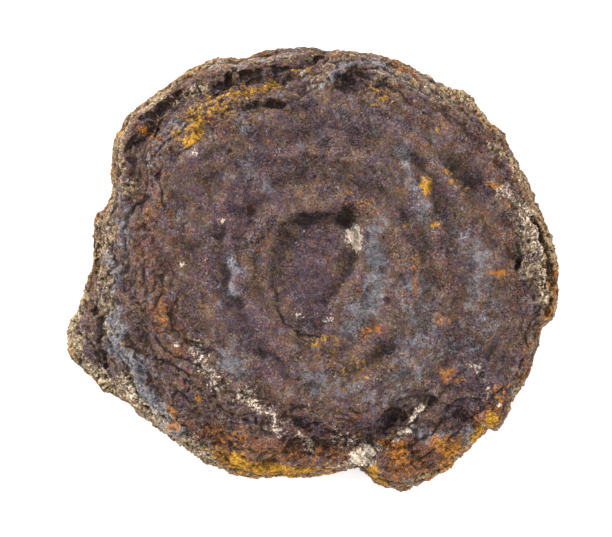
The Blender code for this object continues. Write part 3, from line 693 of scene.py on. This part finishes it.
def relief_tree():
    """Lumps, grains and pores all over, rings and gaps near the rim, and beds on the walls."""
    tree = new_tree("crust_relief", {
        "Geometry": "Geometry", **dict.fromkeys(RELIEF_SIZES, "Float"), "Material": "Material"})
    given = add(tree, "NodeGroupInput").outputs
    place = add(tree, "GeometryNodeInputPosition").outputs[0]
    up = add(tree, "ShaderNodeSeparateXYZ", {0: place}).outputs["Z"]
    kept = {name: add(tree, "GeometryNodeInputNamedAttribute", {"Name": name}).outputs[0]
            for name in ("rough", "wall", "growth", "porous")}

    source = {}
    for name, size, many, detail, roughness, seed in CLOUDS:
        if size:
            many = add(tree, "ShaderNodeMath", {0: many, 1: given[size]}, operation="DIVIDE")
        source[name] = add(tree, "ShaderNodeTexNoise", {
            "Vector": place, "W": seed, "Scale": many, "Detail": detail,
            "Roughness": roughness}, noise_dimensions="4D")

    # Growth rings: rounded rolls with a crevice between each two, which wander and fade
    rings = add(tree, "ShaderNodeMath", {0: kept["growth"], 1: given["Ring width"]},
                operation="DIVIDE")
    rings = add(tree, "ShaderNodeMath", {0: source["wander"], 1: RING_WANDER, 2: rings},
                operation="MULTIPLY_ADD")
    rings = add(tree, "ShaderNodeMath", {0: rings, 1: 0.5}, operation="PINGPONG")
    source["rolls"] = add(tree, "ShaderNodeMath", {0: rings, 1: 0.4}, operation="POWER")

    # Streaks and beds are drawn out round the middle, along the rings and along the walls
    around = add(tree, "ShaderNodeVectorMath", {0: place, 1: (1.0, 1.0, 0.0)},
                 operation="MULTIPLY")
    around = add(tree, "ShaderNodeVectorMath", {0: around}, operation="NORMALIZE")
    around = add(tree, "ShaderNodeVectorMath", {0: around, "Scale": ROUND_SCALE},
                 operation="SCALE")
    outward = add(tree, "ShaderNodeMath", {0: source["bend"], 1: STREAK_BEND},
                  operation="MULTIPLY")
    outward = add(tree, "ShaderNodeMath", {0: kept["growth"], 1: 1 / MM, 2: outward},
                  operation="MULTIPLY_ADD")
    drift = add(tree, "ShaderNodeMath", {0: up, 1: STREAK_RISE * MM}, operation="DIVIDE")
    level = add(tree, "ShaderNodeMath", {0: up, 1: given["Bed thickness"]}, operation="DIVIDE")
    for name, across, seed in (("streaks", outward, drift), ("beds", level, 6.0)):
        across = add(tree, "ShaderNodeCombineXYZ", {"Z": across})
        across = add(tree, "ShaderNodeVectorMath", {0: around, 1: across}, operation="ADD")
        source[name] = add(tree, "ShaderNodeTexNoise", {
            "Vector": across, "W": seed, "Scale": 1.0, "Detail": 5.0, "Roughness": 0.6},
            noise_dimensions="4D")

    # Cells drawn from a disturbed place have no even outline: grains, and a pore in some cells
    stir = add(tree, "ShaderNodeTexNoise", {"Vector": place, "Scale": STIR_SCALE, "Detail": 2.0})
    stir = add(tree, "ShaderNodeVectorMath", {0: stir.outputs["Color"], 1: (0.5, 0.5, 0.5)},
               operation="SUBTRACT")
    stir = add(tree, "ShaderNodeVectorMath", {0: stir, "Scale": STIR_REACH * MM},
               operation="SCALE")
    stirred = add(tree, "ShaderNodeVectorMath", {0: place, 1: stir}, operation="ADD")
    for name, many in (("grains", 1.0), ("pores", PORE_CELLS)):
        many = add(tree, "ShaderNodeMath", {0: many, 1: given["Grain size"]}, operation="DIVIDE")
        source[name] = add(tree, "ShaderNodeTexVoronoi", {"Vector": stirred, "Scale": many})
    draw = add(tree, "FunctionNodeSeparateColor", {0: source["pores"].outputs["Color"]})
    drawn = add(tree, "ShaderNodeMath", {0: draw, 1: PORE_SHARE}, operation="LESS_THAN")
    source["pores"] = add(tree, "ShaderNodeMapRange", {
        "Value": source["pores"], "From Min": 0.08, "From Max": 0.3, "To Min": drawn,
        "To Max": 0.0}, interpolation_type="SMOOTHSTEP")

    where = {"wall": kept["wall"]}
    for name, value, low, high, least in (
        ("patchy", source["patches"], 0.42, 0.58, 0.15), ("porous", kept["porous"], 0.3, 0.8, 0.12),
    ):
        where[name] = add(tree, "ShaderNodeMapRange", {
            "Value": value, "From Min": low, "From Max": high, "To Min": least},
            interpolation_type="SMOOTHSTEP")
    height = 0.0
    for name, low, high, at_low, at_high, worn_share, size, place_name in FORMS:
        rise = add(tree, "ShaderNodeMapRange", {
            "Value": source[name], "From Min": low, "From Max": high, "To Min": at_low,
            "To Max": at_high}, interpolation_type="SMOOTHSTEP")
        share = add(tree, "ShaderNodeMapRange", {"Value": kept["rough"], "To Min": worn_share})
        rise = add(tree, "ShaderNodeMath", {0: rise, 1: share}, operation="MULTIPLY")
        if place_name:
            rise = add(tree, "ShaderNodeMath", {0: rise, 1: where[place_name]},
                       operation="MULTIPLY")
        height = add(tree, "ShaderNodeMath", {0: rise, 1: given[size], 2: height},
                     operation="MULTIPLY_ADD")

    # Near the surface it rests on, the stone keeps the solid's own shape
    share = add(tree, "ShaderNodeMapRange", {
        "Value": up, "From Max": 2.0 * MM, "To Min": 0.1}, interpolation_type="SMOOTHSTEP")
    height = add(tree, "ShaderNodeMath", {0: height, 1: share}, operation="MULTIPLY")
    offset = add(tree, "ShaderNodeVectorMath", {0: add(tree, "GeometryNodeInputNormal"),
                                                "Scale": height}, operation="SCALE")
    moved = add(tree, "GeometryNodeSetPosition", {"Geometry": given["Geometry"], "Offset": offset})
    end_tree(tree, moved, given["Material"])
    return tree


GRAIN_DEPTH = 0.2  # how deep the middle of a strewn grain lies, in its widths
SLIMMEST = (0.55, 0.55, 0.45)
STOUTEST = (1.35, 1.2, 1.0)


def strewing_tree():
    """Small angular grains, strewn where an attribute of the crust says, sunk well into it."""
    tree = new_tree("strewn_grains", {
        "Geometry": "Geometry", "Where": "String", "Grains per square metre": "Float",
        "Width": "Float", "Seed": "Int", "Material": "Material"})
    given = add(tree, "NodeGroupInput").outputs
    where = add(tree, "GeometryNodeInputNamedAttribute", {"Name": given["Where"]})
    dense = add(tree, "ShaderNodeMapRange", {"Value": where, "From Min": 0.3, "From Max": 1.0})
    density = add(tree, "ShaderNodeMath", {0: dense, 1: given["Grains per square metre"]},
                  operation="MULTIPLY")
    points = add(tree, "GeometryNodeDistributePointsOnFaces", {
        "Mesh": given["Geometry"], "Density": density, "Seed": given["Seed"]})
    depth = add(tree, "ShaderNodeMath", {0: given["Width"], 1: -GRAIN_DEPTH},
                operation="MULTIPLY")
    sink = add(tree, "ShaderNodeVectorMath", {0: points.outputs["Normal"], "Scale": depth},
               operation="SCALE")
    points = add(tree, "GeometryNodeSetPosition", {"Geometry": points, "Offset": sink})
    grain = add(tree, "GeometryNodeMeshIcoSphere", {"Radius": 0.5, "Subdivisions": 1})
    turn = add(tree, "FunctionNodeRandomValue", {1: (math.tau, math.tau, math.tau),
                                                 "Seed": given["Seed"]}, data_type="FLOAT_VECTOR")
    spread = add(tree, "FunctionNodeRandomValue", {0: SLIMMEST, 1: STOUTEST,
                                                   "Seed": given["Seed"]}, data_type="FLOAT_VECTOR")
    size = add(tree, "ShaderNodeVectorMath", {0: spread, "Scale": given["Width"]},
               operation="SCALE")
    grains = add(tree, "GeometryNodeInstanceOnPoints", {
        "Points": points, "Instance": grain, "Rotation": turn, "Scale": size})
    tone = add(tree, "FunctionNodeRandomValue", {"Seed": given["Seed"]}, data_type="FLOAT")
    toned = add(tree, "GeometryNodeStoreNamedAttribute", {
        "Geometry": grains, "Name": "tone", "Value": tone.outputs[1]},
        data_type="FLOAT", domain="INSTANCE")
    end_tree(tree, toned, given["Material"])
    return tree


def set_inputs(modifier, values):
    """Sets a Geometry Nodes modifier's inputs by their names in the tree."""
    for item in modifier.node_group.interface.items_tree:
        if item.item_type == "SOCKET" and item.in_out == "INPUT" and item.name in values:
            modifier[item.identifier] = values[item.name]


def mark_hollows(mesh):
    """Keeps how far each vertex lies below its surroundings, near and far, in millimetres, from
    which the material paints shade into pores and hollows.
    """
    start = rows_of(mesh.vertices, "co") / MM
    normals = rows_of(mesh.vertex_normals, "vector")
    ends = np.empty(len(mesh.edges) * 2, np.int32)
    mesh.edges.foreach_get("vertices", ends)
    tails, heads = ends.reshape(-1, 2).T
    count = len(start)
    neighbours = np.bincount(tails, minlength=count) + np.bincount(heads, minlength=count)
    points = start.copy()
    for step in range(max(CAVITY_PASSES)):
        total = np.empty_like(points)
        for axis in range(3):
            total[:, axis] = np.bincount(tails, points[heads, axis], count)
            total[:, axis] += np.bincount(heads, points[tails, axis], count)
        points = total / np.maximum(neighbours, 1)[:, None]
        if step + 1 == CAVITY_PASSES[0]:
            keep_attribute(mesh, "pore", ((points - start) * normals).sum(axis=1))
    keep_attribute(mesh, "hollow", ((points - start) * normals).sum(axis=1))


# Stains in the order they lie over each other: colour, the attribute that says how dense it is or
# None, a factor on it or the density itself, patch size in mm, softness of its edges, greatest
# cover. The same stain comes twice where it also shows as fine flecks
LAYERS = [
    ("ochre", None, 0.22, 0.35, 0.12, 0.30),
    ("orange", None, 0.20, 0.30, 0.12, 0.38),
    ("violet", "violet", 1.0, 1.8, 0.28, 0.88),
    ("russet", "russet", 1.0, 1.0, 0.25, 0.75),
    # Painted sheen: the two blue-grey layers
    ("painted_sheen", "painted_sheen", 1.0, 0.9, 0.32, 0.78),
    ("painted_sheen", None, 0.25, 0.40, 0.12, 0.40),
    ("violet", None, 0.22, 0.45, 0.12, 0.45),
    ("orange", None, 0.07, 0.30, 0.10, 0.35),
    # Painted shade, with a few manganese-black patches
    ("painted_shade_and_manganese", "painted_shade_and_manganese", 1.0, 0.7, 0.20, 0.75),
    ("orange", "orange", 1.0, 0.5, 0.18, 0.80),
    ("sand", "sand", 1.0, 0.5, 0.20, 0.80),
    # Dark flecks in the sandy crust: painted shade in the gaps between its grains
    ("painted_shade_and_manganese", "flecked", 0.45, 0.5, 0.12, 0.70),
    ("white", "flecked", 0.50, 0.27, 0.10, 0.75),
    ("ochre", "ochre", 1.0, 0.5, 0.20, 0.90),
    ("white", "white", 1.0, 0.4, 0.14, 0.95),
    # Pale flecks all over: silt, and in part painted glints
    ("sand", None, 0.08, 0.25, 0.08, 0.60),
]
MIX_A, MIX_B, MIX_COLOUR = 6, 7, 2  # sockets of a colour mix
NOISE_LOW, NOISE_HIGH = 0.34, 0.66  # most of a noise's values lie between these


def new_material(name):
    """A material of that name, its node tree and its shader."""
    material = bpy.data.materials.new(name)
    material.use_nodes = True
    return material, material.node_tree, material.node_tree.nodes["Principled BSDF"]


def limonite_crust(settings):
    """Limonite, grown on a lake bed and air-dried: dull, finely porous, stained by its own oxides.

    Its pores and powder keep it matt, so it looks like earth with only a faint sheen on the worn
    crests, although goethite itself is a dense and shiny mineral. Its colour also holds painted
    light: blue-grey painted sheen where slopes and crests face the light, and painted shade in
    pores, hollows and crevices."""
    material, tree, shader = new_material("limonite_lake_grown")
    place = add(tree, "ShaderNodeTexCoord").outputs["Object"]
    place = add(tree, "ShaderNodeVectorMath", {0: place, "Scale": 1 / MM}, operation="SCALE")

    colour = (*settings.umber, 1.0)
    for order, (name, attribute, density, patch, soft, most) in enumerate(LAYERS):
        if attribute:
            there = add(tree, "ShaderNodeAttribute", attribute_name=attribute).outputs["Fac"]
            density = add(tree, "ShaderNodeMath", {0: there, 1: density}, operation="MULTIPLY")
        patches = add(tree, "ShaderNodeTexNoise", {
            "Vector": place, "W": 10.0 * order, "Scale": 1 / patch, "Detail": 6.0,
            "Roughness": 0.72, "Distortion": 0.3}, noise_dimensions="4D")
        bare = add(tree, "ShaderNodeMapRange", {
            "Value": patches, "From Min": NOISE_LOW, "From Max": NOISE_HIGH}, clamp=False)
        over = add(tree, "ShaderNodeMath", {0: density, 1: bare}, operation="SUBTRACT")
        cover = add(tree, "ShaderNodeMapRange", {
            "Value": over, "From Min": -soft, "From Max": soft, "To Max": most},
            interpolation_type="SMOOTHSTEP")
        tint = (*getattr(settings, name), 1.0)
        colour = add(tree, "ShaderNodeMix", {0: cover, MIX_A: colour, MIX_B: tint},
                     data_type="RGBA").outputs[MIX_COLOUR]

    # Specks of about a quarter of a millimetre are paler and darker, more so in some places
    fine = add(tree, "ShaderNodeTexNoise", {
        "Vector": place, "Scale": 4.2, "Detail": 2.0, "Roughness": 0.8})
    calm = add(tree, "ShaderNodeTexNoise", {"Vector": place, "Scale": 0.35, "Detail": 4.0})
    calm = add(tree, "ShaderNodeMapRange", {
        "Value": calm, "From Min": 0.4, "From Max": 0.6, "To Min": 0.6, "To Max": 0.0})
    value = add(tree, "ShaderNodeMapRange", {
        "Value": fine, "From Min": 0.32, "From Max": 0.68, "To Min": calm, "To Max": 1.95})
    colour = add(tree, "ShaderNodeVectorMath", {0: colour, "Scale": value}, operation="SCALE")

    # Painted shade: pores and hollows are darker by how far they lie below their surroundings, and
    # crests are paler
    for name, none, full, at_none, at_full in (
        ("pore", -0.08, 0.10, 1.45, 0.35), ("hollow", -0.3, 0.9, 1.06, 0.80),
    ):
        depth = add(tree, "ShaderNodeAttribute", attribute_name=name)
        value = add(tree, "ShaderNodeMapRange", {
            "Value": depth.outputs["Fac"], "From Min": none, "From Max": full,
            "To Min": at_none, "To Max": at_full})
        colour = add(tree, "ShaderNodeVectorMath", {0: colour, "Scale": value},
                     operation="SCALE")

    # Grit of a third of a millimetre and less, finer than the mesh
    grit = add(tree, "ShaderNodeTexNoise", {
        "Vector": place, "Scale": 3.0, "Detail": 4.0, "Roughness": 0.8})
    bump = add(tree, "ShaderNodeBump", {"Strength": 1.0, "Distance": 0.35 * MM, "Height": grit})
    tree.links.new(colour.outputs[0], shader.inputs["Base Color"])
    tree.links.new(bump.outputs[0], shader.inputs["Normal"])
    shader.inputs["Roughness"].default_value = 0.8
    shader.inputs["IOR"].default_value = 1.5
    shader.inputs["Specular IOR Level"].default_value = 0.2
    return material


def grain_material(name, shades, roughness):
    """Grains whose colour is drawn from a few shades: pairs of a share and a colour."""
    material, tree, shader = new_material(name)
    tone = add(tree, "ShaderNodeAttribute", attribute_name="tone").outputs["Fac"]
    place = add(tree, "ShaderNodeTexCoord").outputs["Object"]
    cloud = add(tree, "ShaderNodeTexNoise", {"Vector": place, "Scale": 3000.0, "Detail": 2.0})
    colour = (*linear(shades[0][1]), 1.0)
    for share, hex_colour in shades[1:]:
        past = add(tree, "ShaderNodeMapRange", {
            "Value": tone, "From Min": share - 0.08, "From Max": share + 0.08})
        colour = add(tree, "ShaderNodeMix", {0: past, MIX_A: colour,
                                             MIX_B: (*linear(hex_colour), 1.0)},
                     data_type="RGBA").outputs[MIX_COLOUR]
    value = add(tree, "ShaderNodeMapRange", {
        "Value": cloud, "From Min": 0.3, "From Max": 0.7, "To Min": 0.6, "To Max": 1.3})
    colour = add(tree, "ShaderNodeVectorMath", {0: colour, "Scale": value}, operation="SCALE")
    tree.links.new(colour.outputs[0], shader.inputs["Base Color"])
    shader.inputs["Roughness"].default_value = roughness
    return material


# Strewn grains: piece, material, attribute, grains a square millimetre, width, seed, roughness,
# shades
STREWN = [
    ("sand_grains", "quartz_sand_water_worn", "sand", 1.6, 0.30, 3, 0.45,
     [(0.0, "#8f8270"), (0.3, "#a99a84"), (0.55, "#6f6252"), (0.75, "#4c3f35"), (0.9, "#c9bda8")]),
    ("chalk_grains", "calcite_chalky", "white", 5.0, 0.24, 7, 0.8,
     [(0.0, "#c2b3a4"), (0.5, "#a99c8c"), (0.8, "#ddd0c2")]),
]


class LAKEORE_OT_crust(bpy.types.Operator):
    """Grows the stone's crust over the solid"""

    bl_idname = "lake_ore.crust"
    bl_label = "Crust"

    def execute(self, context):
        settings = context.scene.lake_ore
        skin = fine_skin(settings)
        carve(skin)
        obj = linked("crust_source", skin)
        relief = obj.modifiers.new("relief", "NODES")
        relief.node_group = relief_tree()
        sizes = {name: getattr(settings, name.lower().replace(" ", "_")) for name in RELIEF_SIZES}
        set_inputs(relief, {**sizes, "Material": limonite_crust(settings)})
        fewer = obj.modifiers.new("fewer", "DECIMATE")
        fewer.ratio = min(1.0, settings.triangles / (2 * len(skin.polygons)))
        mesh = evaluated(obj, "ore_crust")
        bpy.data.objects.remove(obj)
        mesh.shade_smooth()
        mark_hollows(mesh)
        crust = linked("ore_crust", mesh)
        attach(crust, BODY)
        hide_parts(STONE)
        return {"FINISHED"}


class LAKEORE_OT_grains(bpy.types.Operator):
    """Strews the sand and the chalk that have grown into the crust"""

    bl_idname = "lake_ore.grains"
    bl_label = "Grains"

    def execute(self, context):
        crust = bpy.data.objects["ore_crust"]
        tree = strewing_tree()
        for name, surface, where, density, width, seed, roughness, shades in STREWN:
            source = linked(name + "_source", crust.data.copy())
            strewing = source.modifiers.new("strewing", "NODES")
            strewing.node_group = tree
            set_inputs(strewing, {
                "Where": where, "Grains per square metre": density / MM**2, "Width": width * MM,
                "Seed": seed, "Material": grain_material(surface, shades, roughness)})
            grains = linked(name, evaluated(source, name))
            bpy.data.objects.remove(source)
            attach(grains, BODY)
        return {"FINISHED"}


# Name, place, size and power in watts of each lamp. They are in metres and aim at the stone
LAMPS = (
    ("key_light", (-0.43, 0.43, 0.34), 0.24, 4.4),
    ("fill_light", (0.45, -0.25, 0.50), 0.50, 1.3),
)
FLOOR_SIZE = 4.0
FLOOR_GLOW = 0.3

# The photo looks straight down, and its scale holds a little below the stone's face
PHOTO_WIDTH = 612  # pixels
PIXEL = 0.1217 * MM
SCALE_LEVEL = 5.5 * MM
EYE = (-0.67 * MM, 0.12 * MM)


class LAKEORE_OT_stage(bpy.types.Operator):
    """Sets the floor, the lights and the camera"""

    bl_idname = "lake_ore.stage"
    bl_label = "Stage"

    def execute(self, context):
        bpy.ops.mesh.primitive_plane_add(size=FLOOR_SIZE)
        floor = context.object
        floor.name = "pale_floor"
        # A light table: its glow takes most of the shadow away, as in the photo
        board, _, sheet = new_material("acrylic_opal_matt")
        sheet.inputs["Base Color"].default_value = (0.9, 0.9, 0.9, 1.0)
        sheet.inputs["Roughness"].default_value = 0.9
        sheet.inputs["Emission Color"].default_value = (1.0, 1.0, 1.0, 1.0)
        sheet.inputs["Emission Strength"].default_value = FLOOR_GLOW
        floor.data.materials.append(board)

        world = bpy.data.worlds.new("studio")
        world.use_nodes = True
        world.node_tree.nodes["Background"].inputs["Color"].default_value = (1.0, 1.0, 1.0, 1.0)
        world.node_tree.nodes["Background"].inputs["Strength"].default_value = 1.0
        context.scene.world = world
        for name, place, size, power in LAMPS:
            lamp = bpy.data.lights.new(name, "AREA")
            lamp.size = size
            lamp.energy = power
            light = bpy.data.objects.new(name, lamp)
            light.location = place
            light.rotation_euler = (-Vector(place)).to_track_quat("-Z", "Y").to_euler()
            context.scene.collection.objects.link(light)

        camera = bpy.data.cameras.new("camera")
        camera.sensor_width = 36.0
        camera.lens = 110.0
        camera.clip_start = 0.01
        eye = bpy.data.objects.new("camera", camera)
        distance = PHOTO_WIDTH * PIXEL * camera.lens / camera.sensor_width
        eye.location = (*EYE, SCALE_LEVEL + distance)
        context.scene.collection.objects.link(eye)
        context.scene.camera = eye
        context.scene.view_settings.view_transform = "Standard"
        return {"FINISHED"}


class LAKEORE_PT_sidebar(bpy.types.Panel):
    """The stone's sizes, colours and steps"""

    bl_label = "Lake ore"
    bl_space_type = "VIEW_3D"
    bl_region_type = "UI"
    bl_category = "Lake ore"

    def draw(self, context):
        for name in LakeOreSettings.__annotations__:
            self.layout.prop(context.scene.lake_ore, name)
        for operator in OPERATORS:
            self.layout.operator(operator.bl_idname)


OPERATORS = (LAKEORE_OT_crust, LAKEORE_OT_grains, LAKEORE_OT_stage)
CLASSES = (LakeOreSettings, *OPERATORS, LAKEORE_PT_sidebar)


def register():
    for cls in CLASSES:
        bpy.utils.register_class(cls)
    bpy.types.Scene.lake_ore = PointerProperty(type=LakeOreSettings)


def unregister():
    del bpy.types.Scene.lake_ore
    for cls in reversed(CLASSES):
        bpy.utils.unregister_class(cls)


def main():
    register()
    bpy.ops.lake_ore.crust()
    bpy.ops.lake_ore.grains()
    bpy.ops.lake_ore.stage()


if __name__ == "__main__":
    main()
